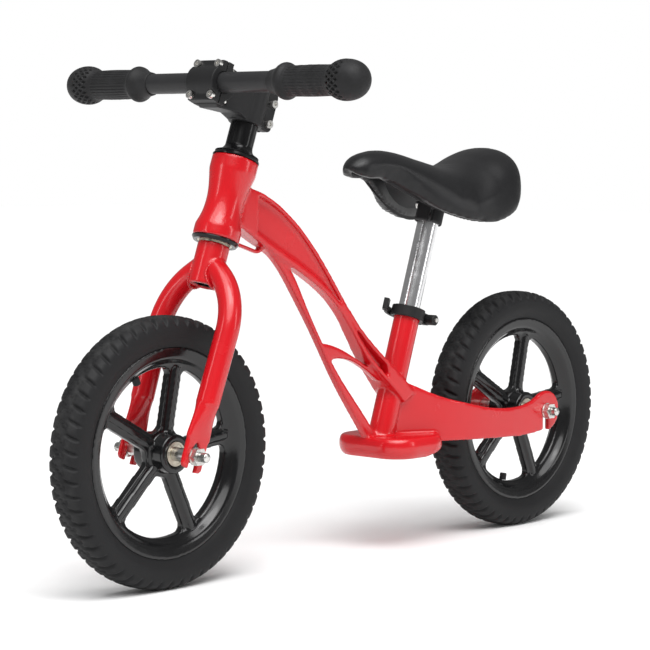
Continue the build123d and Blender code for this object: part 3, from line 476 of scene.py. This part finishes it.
def weld_beads():
    bm = bmesh.new()
    crown, leg, scales = 0.0178, 0.0130, 34
    for side in (1, -1):
        for step in range(scales):
            turn = 2 * math.pi * step / scales
            ahead = leg * 1.03 * math.cos(turn)
            across = side * math.sqrt(max(crown ** 2 - ahead ** 2, 0))
            height = 0.1970 + 0.0155 * math.sin(turn) + 0.001 * noise.noise(Vector((step, side, 0)))
            size = 0.0018 + 0.0003 * noise.noise(Vector((side, step * 1.7, 2.0)))
            ball = bmesh.ops.create_icosphere(bm, subdivisions=2, radius=size)["verts"]
            bmesh.ops.translate(bm, verts=ball, vec=on_steering(ahead, across, height))
    mesh = bpy.data.meshes.new("weld_beads")
    bm.to_mesh(mesh)
    bm.free()
    return evaluated(mesh, ("REMESH", {"mode": "VOXEL", "voxel_size": 0.0006, "use_smooth_shade": True}),
                     ("SMOOTH", {"factor": 0.5, "iterations": 2}))


add_piece("fork_weld_beads", weld_beads(), RED_ENAMEL, "fork", replaces=False)

# %% [markdown]
# A foam tyre is a ring with a flat crown and soft shoulders. A circle of vertices is pressed
# into that section, then spun round the axle. The tread is cut last, by pushing vertices in:
# slanted grooves on both shoulders, staggered half a pitch, with a short cut in the middle of
# each block. The same numbers mark how far up the crown a vertex lies, for the painted sheen.

# %% Tyres
TYRE_RADIUS = 0.145
TYRE_HALF = 0.0208
WIDEST = 0.1275
BLOCKS = 58
RING_STEPS = 928


def tyre_section(angle):
    """Across and outwards, at an angle round the section."""
    across, outward = math.cos(angle), math.sin(angle)
    if outward >= 0:
        return (TYRE_HALF * math.copysign(abs(across) ** 0.72, across),
                WIDEST + (TYRE_RADIUS - WIDEST) * outward ** 0.62)
    return (TYRE_HALF * math.copysign(abs(across) ** 1.05, across), WIDEST - 0.0228 * abs(outward))


def groove(distance, half):
    """1 in the middle of a groove, 0 beyond its half width."""
    share = max(0.0, 1.0 - abs(distance) / half)
    return share * share * (3 - 2 * share)


def tread_depth(across, around):
    """How deep the tread is cut at a point, in metres."""
    side = 1 if across > 0 else -1
    reach = abs(across)
    phase = around / (2 * math.pi) * BLOCKS + (0.25 if side > 0 else -0.25) + reach * 26.0
    offset = (phase % 1.0) - 0.5
    shoulder = min(1.0, max(0.0, (reach - 0.0055) / 0.003))
    depth = 0.0030 * shoulder * groove(offset, 0.22)
    middle = ((phase + 0.5 + reach * 40.0) % 1.0) - 0.5
    depth = max(depth, 0.0018 * (1 - shoulder) * groove(middle, 0.13))
    depth = max(depth, 0.0014 * groove(reach - 0.0068 - 0.0012 * math.cos(phase * 2 * math.pi), 0.0009))
    return depth


def tyre_mesh(name, centre):
    bm = bmesh.new()
    ring = bmesh.ops.create_circle(bm, segments=72, radius=1.0)["verts"]
    for vert in ring:
        across, radius = tyre_section(math.atan2(vert.co.y, vert.co.x))
        vert.co = Vector((0, across, radius)) + centre
    bmesh.ops.spin(bm, geom=bm.verts[:] + bm.edges[:], cent=centre, axis=(0, 1, 0), angle=2 * math.pi,
                   steps=RING_STEPS, use_merge=True)
    bmesh.ops.remove_doubles(bm, verts=bm.verts, dist=0.00001)
    bmesh.ops.recalc_face_normals(bm, faces=bm.faces)
    crown = bm.verts.layers.float.new("crown")
    for vert in bm.verts:
        arm = vert.co - centre
        radius = math.hypot(arm.x, arm.z)
        around = math.atan2(arm.z, arm.x)
        out = Vector((arm.x / radius, 0, arm.z / radius))
        height = min(1.0, max(0.0, (radius - 0.1335) / 0.006))
        # Marks the crown of the tread, where the tyre finish paints its sheen.
        vert[crown] = min(1.0, max(0.0, (radius - 0.139) / 0.005))
        cut = tread_depth(arm.y, around) * height
        seam = 0.0006 * groove(radius - 0.1185, 0.0014)
        vert.co -= out * cut
        vert.co.y -= math.copysign(cut * 0.35 + seam, arm.y)
    mesh = bpy.data.meshes.new(name)
    bm.to_mesh(mesh)
    bm.free()
    return mesh


for end in ("front", "rear"):
    add_piece(f"{end}_foam_tyre", tyre_mesh(f"{end}_foam_tyre", centre_of(f"{end}_axle")), TYRE_FOAM,
              f"{end}_tyre")

# %% [markdown]
# A grip is moulded in one shot: a cone and a flange that keep the hand off the bar, a barrel,
# and a fat bulb that guards the hand in a fall. A profile of a few points is spun round the bar
# and subdivided until it is smooth. Then the surface is pressed in: half of the barrel carries
# rows of small studs, the other half long ribs, and the bulb is pierced by staggered diamonds.

# %% Grips
GRIP_PROFILE = (  # along the bar from the middle of the bike, and radius
    (0.0900, 0.0113), (0.0900, 0.0126), (0.0955, 0.0133), (0.1035, 0.0158), (0.1080, 0.0194), (0.1120, 0.0200),
    (0.1150, 0.0186), (0.1165, 0.0160), (0.1320, 0.0164), (0.1470, 0.0167), (0.1620, 0.0165), (0.1760, 0.0160),
    (0.1800, 0.0180), (0.1860, 0.0209), (0.1945, 0.0220), (0.2050, 0.0206), (0.2135, 0.0168), (0.2185, 0.0105),
    (0.2203, 0.0045), (0.2205, 0.0004))
BAR_AT = centre_of("handlebar")


def grip_relief(along, around):
    """How far the grip's surface is pressed in, in metres."""
    barrel = min(1.0, max(0.0, (along - 0.1185) / 0.002)) * min(1.0, max(0.0, (0.1755 - along) / 0.002))
    if barrel > 0:
        rib = 0.5 - 0.5 * math.cos(around * 30)
        if math.cos(around) > 0:
            rib = max(rib, 0.5 - 0.5 * math.cos(along / 0.0022 * 2 * math.pi))
        return 0.0007 * barrel * rib ** 2
    row = (along - 0.1830) / 0.0046
    if -0.5 < row < 3.5:
        line = round(row)
        sector = around / (2 * math.pi) * 20 + 0.5 * (line % 2)
        sideways = abs((sector % 1.0) - 0.5) / 0.34
        lengthways = abs(row - line) / 0.62
        return 0.0026 * min(1.0, max(0.0, (1.0 - sideways - lengthways) * 3.5))
    return 0.0


def grip_mesh(name, side, turned):
    bm = bmesh.new()
    chain = [bm.verts.new(BAR_AT + Vector((radius, side * along, 0))) for along, radius in GRIP_PROFILE]
    for a, b in zip(chain, chain[1:]):
        bm.edges.new((a, b))
    bmesh.ops.spin(bm, geom=bm.verts[:] + bm.edges[:], cent=BAR_AT, axis=(0, 1, 0), angle=2 * math.pi, steps=40,
                   use_merge=True)
    bmesh.ops.holes_fill(bm, edges=[e for e in bm.edges if e.is_boundary], sides=0)
    bmesh.ops.recalc_face_normals(bm, faces=bm.faces)
    rough = bpy.data.meshes.new(name + "_rough")
    bm.to_mesh(rough)
    bm.free()
    smooth = evaluated(rough, ("SUBSURF", {"levels": 3, "render_levels": 3}))
    for vert in smooth.vertices:
        arm = vert.co - BAR_AT
        radius = math.hypot(arm.x, arm.z)
        if radius > 0.0118:
            press = grip_relief(abs(arm.y), math.atan2(arm.z, arm.x * turned))
            vert.co -= Vector((arm.x, 0, arm.z)) * (press / radius)
    smooth.name = name
    return smooth


add_piece("left_grip_rubber", grip_mesh("left_grip_rubber", 1, 1), GRIP_RUBBER, "grip_left")
add_piece("right_grip_rubber", grip_mesh("right_grip_rubber", -1, -1), GRIP_RUBBER, "grip_right")

# %% [markdown]
# Both wheels hang on threaded axles whose ends stand out of the nuts. A screw thread seen from
# the side is a row of fine ridges, so a zigzag line spun round the axle is enough: nobody can
# see that the ridges are rings and not one helix.

# %% Threaded axles
def threaded_axle(node):
    low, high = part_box(node)
    centre = (low + high) / 2
    half = (high.y - low.y) / 2
    pitch, crest, root = 0.00125, 0.0050, 0.0043
    bm = bmesh.new()
    steps = int(2 * half / pitch) * 2
    line = [(-half, 0.0002), (-half, root - 0.0006)]
    line += [(-half + 0.0006 + (2 * half - 0.0012) * i / steps, root if i % 2 == 0 else crest)
             for i in range(steps + 1)]
    line += [(half, root - 0.0006), (half, 0.0002)]
    chain = [bm.verts.new(centre + Vector((radius, along, 0))) for along, radius in line]
    for a, b in zip(chain, chain[1:]):
        bm.edges.new((a, b))
    bmesh.ops.spin(bm, geom=bm.verts[:] + bm.edges[:], cent=centre, axis=(0, 1, 0), angle=2 * math.pi, steps=28,
                   use_merge=True)
    bmesh.ops.holes_fill(bm, edges=[e for e in bm.edges if e.is_boundary], sides=0)
    bmesh.ops.recalc_face_normals(bm, faces=bm.faces)
    mesh = bpy.data.meshes.new(node + "_thread")
    bm.to_mesh(mesh)
    bm.free()
    return mesh


for end in ("front", "rear"):
    add_piece(f"{end}_axle_thread", threaded_axle(f"{end}_axle"), ZINC, f"{end}_axle")

# %% [markdown]
# The saddle is a padded shell: a high nose, a dip to sit in, a kicked-up tail and deep flanks
# that hide the post's clamp. It starts as a flat grid that is bent into that dome, is given
# its thickness, and is then blown up slightly by the cloth solver, so that the cover pulls
# smooth over the foam as a real one does. A cap keeps the swelling to a few millimetres.

# %% Saddle shape
SADDLE_TABLE = (  # along X, half width, height of the lower edge, height of the crown
    (0.010, 0.0165, 0.4335, 0.4520), (-0.010, 0.0205, 0.4320, 0.4590), (-0.034, 0.0245, 0.4280, 0.4625),
    (-0.062, 0.0320, 0.4140, 0.4600), (-0.098, 0.0455, 0.3935, 0.4510), (-0.138, 0.0570, 0.3815, 0.4420),
    (-0.162, 0.0625, 0.3780, 0.4425), (-0.184, 0.0665, 0.3775, 0.4490), (-0.218, 0.0670, 0.3880, 0.4620),
    (-0.240, 0.0580, 0.4060, 0.4650), (-0.262, 0.0350, 0.4300, 0.4520))
NOSE, TAIL = SADDLE_TABLE[0][0], SADDLE_TABLE[-1][0]


def saddle_at(x):
    """Half width, lower edge and crown at a place along the saddle, through the table smoothly."""
    rows = SADDLE_TABLE
    place = next((i for i in range(len(rows) - 1) if x >= rows[i + 1][0]), len(rows) - 2)
    before, a, b = rows[max(place - 1, 0)], rows[place], rows[place + 1]
    after = rows[min(place + 2, len(rows) - 1)]
    t = min(1.0, max(0.0, (a[0] - x) / (a[0] - b[0])))
    return [0.5 * (2 * a[k] + (b[k] - before[k]) * t + (2 * before[k] - 5 * a[k] + 4 * b[k] - after[k]) * t * t
                   + (3 * a[k] - before[k] - 3 * b[k] + after[k]) * t ** 3) for k in (1, 2, 3)]


def end_rounding(x):
    """Shrinks the section towards both ends, so that they close in a round."""
    nose = min(1.0, max(0.0, (NOSE - x) / 0.018))
    tail = min(1.0, max(0.0, (x - TAIL) / 0.026))
    return math.sqrt(1 - (1 - nose) ** 2) * math.sqrt(1 - (1 - tail) ** 2)


def saddle_dome():
    bm = bmesh.new()
    bmesh.ops.create_grid(bm, x_segments=56, y_segments=36, size=1.0)
    for vert in bm.verts:
        x = (NOSE + TAIL) / 2 + (NOSE - TAIL) / 2 * math.sin(vert.co.x * math.pi / 2)
        half, edge, crown = saddle_at(x)
        close = max(0.10, end_rounding(x))
        turn = (1 + vert.co.y) * math.pi / 2
        across = math.copysign(abs(math.cos(turn)) ** 0.85, math.cos(turn)) * half * close
        lift = math.sin(turn) ** 0.80 if math.sin(turn) > 0 else 0.0
        bulge = 1 + 0.05 * math.sin(2 * turn) ** 2
        middle = edge + (crown - edge) * 0.5
        low = middle + (edge - middle) * close
        high = middle + (crown - middle) * close
        vert.co = Vector((x, across * bulge, low + (high - low) * lift))
    bmesh.ops.recalc_face_normals(bm, faces=bm.faces)
    mesh = bpy.data.meshes.new("saddle_dome")
    bm.to_mesh(mesh)
    bm.free()
    if mesh.polygons[len(mesh.polygons) // 2].normal.z < 0:
        mesh.flip_normals()
    return evaluated(mesh, ("SOLIDIFY", {"thickness": 0.011, "offset": -1.0}),
                     ("REMESH", {"mode": "VOXEL", "voxel_size": 0.003, "use_smooth_shade": True}),
                     ("SMOOTH", {"factor": 0.5, "iterations": 6}))


saddle = saddle_dome()
print("saddle shell:", len(saddle.polygons), "faces")

# %% Blow the cover up over its foam
SWELL_CAP = 0.0035


def inflated(mesh):
    """The cover after a short cloth run with air inside, no point moving further than the cap."""
    rest = [v.co.copy() for v in mesh.vertices]
    holder = bpy.data.objects.new("cover_in_the_making", mesh)
    bpy.context.scene.collection.objects.link(holder)
    cloth = holder.modifiers.new("cloth", "CLOTH")
    cloth.settings.use_pressure = True
    cloth.settings.uniform_pressure_force = 4.0
    cloth.settings.effector_weights.gravity = 0.0
    cloth.settings.quality = 5
    cloth.point_cache.frame_end = 20
    for step in range(1, 21):
        bpy.context.scene.frame_set(step)
    made = bpy.data.meshes.new_from_object(holder.evaluated_get(bpy.context.evaluated_depsgraph_get()))
    bpy.context.scene.frame_set(1)
    bpy.data.objects.remove(holder)
    for vert, start in zip(made.vertices, rest):
        move = vert.co - start
        if move.length > SWELL_CAP:
            vert.co = start + move.normalized() * SWELL_CAP
    return evaluated(made, ("SMOOTH", {"factor": 0.5, "iterations": 2}),
                     ("SUBSURF", {"levels": 1, "render_levels": 1}))


saddle = inflated(saddle)
cushion = add_piece("saddle_padding", saddle, SADDLE_COVER, "saddle_cushion")

# %% [markdown]
# What is left of the engineering model is already the right shape: nuts, bolts, rings, tubes.
# They only need their finish, and a hairline bevel, because a perfectly sharp edge catches no
# light and looks drawn.

# %% Finishes for the carried-over nodes
FINISH_OF = {
    "handlebar": BAR_COAT, "steerer_tube": GLOSS_BLACK, "headset_top_cover": GLOSS_BLACK,
    "lower_bearing_cup": GLOSS_BLACK, "upper_bearing_cup": GLOSS_BLACK, "stem_top_cap": POWDER_COAT,
    "seat_clamp_nut": POWDER_COAT, "seat_post": CHROME, "front_tyre_plug": MOULDED_GRAIN,
    "rear_tyre_plug": MOULDED_GRAIN, "front_hub_bearings": RACE_STEEL, "rear_hub_bearings": RACE_STEEL,
    "lower_ball_ring": RACE_STEEL, "upper_ball_ring": RACE_STEEL, "crown_race": RACE_STEEL,
    "upper_race": RACE_STEEL,
}
BEVELLED = ("axle_nuts", "axle_washers", "bolts", "bolt", "nut", "cap")
for name, node in sorted(nodes.items()):
    if node.hide_render:
        continue
    node.data.materials.clear()
    node.data.materials.append(FINISH_OF.get(name, ZINC))
    if name.endswith(BEVELLED):
        edge = node.modifiers.new("hairline", "BEVEL")
        edge.width = 0.00035
        edge.segments = 2
        edge.limit_method = "ANGLE"
        edge.angle_limit = math.radians(40)
print("finished nodes:", sum(not n.hide_render for n in nodes.values()))

# %% [markdown]
# The floor is a plain pale sheet. It takes the soft shadows that show the wheels standing on
# it, and is carried by no body of the bike.

# %% Floor
def floor_sheet():
    bm = bmesh.new()
    bmesh.ops.create_grid(bm, x_segments=1, y_segments=1, size=12.0)
    mesh = bpy.data.meshes.new("floor")
    bm.to_mesh(mesh)
    bm.free()
    finish = Finish("pale_floor", Specular_IOR_Level=0.2)
    mottle = finish.grain(3.0, 2.0)
    finish.set(Base_Color=finish.mix(mottle, colour(0.93, 0.93, 0.93), colour(0.95, 0.95, 0.95)),
               Roughness=0.75 + mottle * 0.05)
    mesh.materials.append(finish.material)
    floor = bpy.data.objects.new("floor", mesh)
    bpy.context.scene.collection.objects.link(floor)
    return floor


floor_sheet()
